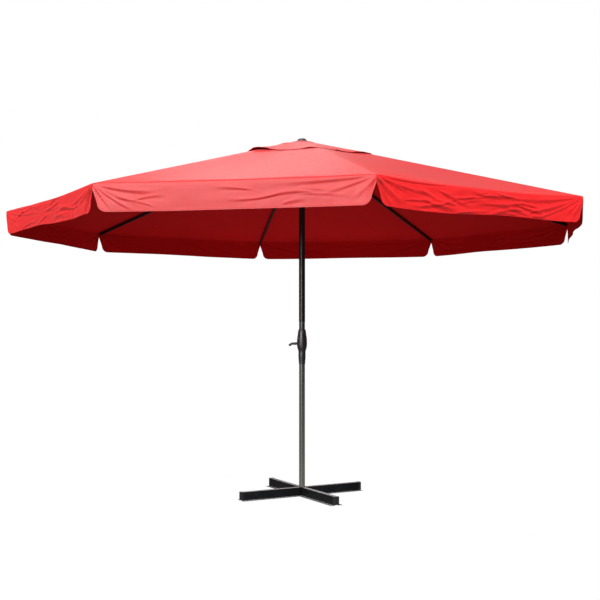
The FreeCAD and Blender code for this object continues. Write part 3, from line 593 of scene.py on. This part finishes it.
def sector_grid(surface, rib, from_corner, run):
    """Joins the two half gores beside a rib into one grid, with the rib's ridge as its middle column.

    from_corner is each column's distance from the ridge as a share of the half side, rising from 0; run is a
    grid of rows by those columns."""
    before, after = (rib - 1) % RIBS, rib
    left = (before, 1 - from_corner[:0:-1], run[:, :0:-1])
    right = (after, from_corner - 1, run)
    points, normals = [], []
    for gore, across, rows in (left, right):
        wide = np.broadcast_to(across, rows.shape)
        points.append(surface(gore, wide, rows))
        normals.append(sheet_normals(surface, gore, wide, rows))
    ridge = normals[1][:, 0] + sheet_normals(surface, before, np.ones(len(run)), run[:, 0])
    normals[1][:, 0] = ridge / np.linalg.norm(ridge, axis=-1, keepdims=True)
    return np.concatenate(points, 1), np.concatenate(normals, 1)


def mirrored(values):
    """A half sector's grid of values, laid out over the whole sector."""
    return np.concatenate([values[:, :0:-1], values], 1)


def mirrored_uv(first, second):
    signed = np.concatenate([-first[:, :0:-1], first], 1)
    return np.stack([signed, mirrored(second)], -1)


def panel_sector(rib, materials):
    """The main canopy around one rib: two half panels and two half valances in one continuous sheet."""
    # columns lie close together over the notch, and rows above the rim, at its fold and over the hem
    notch = np.array([0, 0.003, 0.007, 0.012, 0.018, 0.0225, 0.027, 0.030, 0.035, 0.043, 0.055, 0.072, 0.085])
    along = np.concatenate([notch, np.linspace(0.094, EDGE_HALF, 108)])
    outline = notch_outline()
    foot = np.interp(along, outline[:, 0], outline[:, 1])
    above_rim, beside_fold = 0.30, 0.025
    panel = np.linspace(OPENING - CORNER, -above_rim, 42, endpoint=False)
    lower_panel = np.linspace(-above_rim, -beside_fold, 15, endpoint=False)
    fold = np.linspace(-beside_fold, beside_fold, 10)
    shares = np.concatenate([np.linspace(0, 0.915, 24)[1:], [0.925, 0.932, 0.96, 1.0]])
    rows = [np.full(along.shape, row) for row in (*panel, *lower_panel, *fold)]
    rows += [beside_fold + share * (foot - beside_fold) for share in shares]
    run = np.array(rows)

    points, normals = sector_grid(gore_surface, rib, along / EDGE_HALF, run)
    wide = np.broadcast_to(along, run.shape)
    width = wide * (CORNER + np.minimum(run, 0)) / CORNER
    place, away = from_outline(outline, wide, np.maximum(run, 0.0))
    beside_ridge = width < -run
    place = np.where(run > 0, place, np.where(beside_ridge, run, width))
    away = np.where(run > 0, away, np.where(beside_ridge, width, -run))
    thickness = CLOTH + HEM_EXTRA * smooth_step(-away, -HEM, -HEM + HEM_STEP)
    return cloth_object(
        f"canopy_cloth_{rib + 1}", points, normals, mirrored(thickness), mirrored_uv(width, run),
        mirrored_uv(place, away), materials,
    )


def flap_sector(rib, materials):
    """The vent flap around one rib."""
    share = np.linspace(0, 1, 27) ** 1.15
    above_hem = np.linspace(FLAP_INNER, FLAP_OUTER - HEM - 0.004, 22)
    hem = FLAP_OUTER - np.array([HEM, HEM - 0.002, HEM / 2, 0.0])
    run = np.repeat(np.concatenate([above_hem, hem])[:, None], len(share), 1)
    points, normals = sector_grid(flap_surface, rib, share, run)
    away = FLAP_OUTER - run
    thickness = CLOTH + HEM_EXTRA * smooth_step(-away, -HEM - 0.001, -HEM + 0.001)
    width = share * run * np.sin(HALF)
    return cloth_object(
        f"vent_flap_{rib + 1}", points, normals, mirrored(thickness), mirrored_uv(width, run),
        mirrored_uv(width, away), materials,
    )


def crown_patch(materials):
    """The eight-sided reinforcing patch that the finial's washer clamps."""
    angle = np.linspace(0, 2 * np.pi, 16 * RIBS, endpoint=False)
    from_middle = np.mod(angle, STEP) - HALF
    corner = np.linspace(CROWN_HOLE / np.cos(HALF), CROWN_OUTER, 14)[:, None]
    reach = corner * np.cos(HALF) / np.cos(from_middle)
    over_flap = over_rib(np.tan(from_middle) / np.tan(HALF), corner) * smooth_step(corner, 0.06, FLAP_INNER)
    wavy = 0.0005 * np.sin(5 * angle) * (corner / CROWN_OUTER) ** 4
    height = APEX_Z + CROWN_LIFT - FALL * corner + over_flap + wavy
    points = np.stack([reach * np.cos(angle), reach * np.sin(angle), height], -1)
    flow = np.cross(np.roll(points, -1, axis=1) - np.roll(points, 1, axis=1), np.gradient(points, axis=0))
    normals = -flow / np.linalg.norm(flow, axis=-1, keepdims=True)
    away = (CROWN_OUTER - corner) * np.cos(HALF) + 0 * angle
    thickness = CLOTH + HEM_EXTRA * smooth_step(-away, -HEM, -HEM + HEM_STEP)
    around = CROWN_OUTER * angle + 0 * corner
    cloth_uv, seam_uv = points[..., :2], np.stack([around, away], -1)
    return cloth_object("crown_cloth", points, normals, thickness, cloth_uv, seam_uv, materials, loop=True)


def build_canopy():
    outside = cloth_material("red_cloth", gloss=0.32, roughness=0.50)
    inside = cloth_material("red_cloth_inside", gloss=0.03, roughness=0.80)
    cloth = [outside, inside]
    for rib in range(RIBS):
        body, azimuth = f"rib_{rib + 1}", STEP * rib
        sector, flap = panel_sector(rib, cloth), flap_sector(rib, cloth)
        for piece, width, flat, area in (
            (sector, CLOSED_WIDTH, (2 * EDGE_HALF, CORNER), 2.62),
            (flap, FLAP_CLOSED_WIDTH, (0.536, 0.62), 0.177),
        ):
            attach(piece, body)
            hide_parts(f"canopy_{rib + 1}")
            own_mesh(piece)
    patch = crown_patch(cloth)
    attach(patch, "root")
    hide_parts("crown_patch")


# ---- studio ----
def build_studio():
    """A white surround that lights the object only softly, and a floor that throws light back up at it."""
    scene = bpy.context.scene
    scene.view_settings.view_transform = "Standard"
    world = bpy.data.worlds.new("studio")
    world.use_nodes = True
    tree = world.node_tree
    seen = tree.nodes.new("ShaderNodeLightPath").outputs["Is Camera Ray"]
    height = tree.nodes.new("ShaderNodeSeparateXYZ")
    tree.links.new(tree.nodes.new("ShaderNodeTexCoord").outputs["Generated"], height.inputs[0])
    sky, strength = tree.nodes.new("ShaderNodeMapRange"), tree.nodes.new("ShaderNodeMapRange")
    sky.inputs["From Max"].default_value = HORIZON_BAND
    sky.inputs["To Min"].default_value = GROUND_GLOW
    sky.inputs["To Max"].default_value = AMBIENT
    tree.links.new(height.outputs["Z"], sky.inputs["Value"])
    strength.inputs["To Max"].default_value = 1.0
    tree.links.new(seen, strength.inputs["Value"])
    tree.links.new(sky.outputs[0], strength.inputs["To Min"])
    tree.links.new(strength.outputs[0], tree.nodes["Background"].inputs["Strength"])
    tree.nodes["Background"].inputs["Color"].default_value = rgb(1.0, 1.0, 1.0)
    scene.world = world

    bpy.ops.mesh.primitive_circle_add(vertices=96, radius=FLOOR_RADIUS, fill_type="NGON")
    floor = bpy.context.object
    floor.name = "studio_floor"
    plain = Shader("studio_floor", Roughness=0.9, Specular_IOR_Level=0.1)
    direct = plain.add("ShaderNodeLightPath").outputs["Is Camera Ray"]
    plain.plug(plain.math("SUBTRACT", 1.0, direct), plain.surface.inputs["Alpha"])
    floor.data.materials.append(plain.finish(rgb(0.17, 0.17, 0.17)))


def from_view(right, towards, up):
    """A point by its distances from the pole, to the right and towards the camera, as the camera sees it."""
    nearer = Vector((np.cos(VIEW_AZIMUTH), np.sin(VIEW_AZIMUTH), 0))
    rightwards = Vector((-nearer.y, nearer.x, 0))
    return nearer * towards + rightwards * right + Vector((0, 0, up))


def aim(thing, place, target):
    thing.location = place
    thing.rotation_euler = (target - place).to_track_quat("-Z", "Y").to_euler()
    bpy.context.scene.collection.objects.link(thing)


def soft_light(name, place, size, power, diffuse=True, glossy=True, target=CANOPY_MIDDLE):
    """A disc lamp; it can light only the colours or only the sheen of what it falls on."""
    light = bpy.data.lights.new(name, "AREA")
    light.shape = "DISK"
    light.size = size
    light.energy = power
    made = bpy.data.objects.new(name, light)
    made.visible_camera = False
    made.visible_diffuse = diffuse
    made.visible_glossy = glossy
    aim(made, place, target)


def build_lights():
    """Key, two fills, two that only give the cloth its sheen, and one that lifts its underside."""
    soft_light("key", from_view(-4.8, 10.6, 10.3), 2.2, 1265.0)
    soft_light("left", from_view(-10.0, 3.0, 4.5), 3.0, 540.0, glossy=False)
    soft_light("fill", from_view(8.0, 7.0, 7.0), 3.0, 1000.0, glossy=False)
    soft_light("front_sheen", from_view(-5.0, 10.5, 3.6), 4.0, 1700.0, diffuse=False)
    soft_light("top_sheen", from_view(-1.0, -10.0, 8.0), 5.0, 155.0, diffuse=False)
    under_rear = from_view(0.0, -2.0, 0.3)
    soft_light("bounce", under_rear, 3.5, 15.0, glossy=False, target=under_rear + Vector((0, 0, 1)))


def build_camera():
    camera = bpy.data.cameras.new("camera")
    camera.lens = LENS
    camera.sensor_width = 36.0
    made = bpy.data.objects.new("camera", camera)
    aim(made, from_view(0, VIEW_DISTANCE, EYE_HEIGHT), from_view(-AIM_LEFT, 0, AIM_HEIGHT))
    bpy.context.scene.camera = made


build_studio()
build_camera()
build_lights()
dress_frame()
build_canopy()
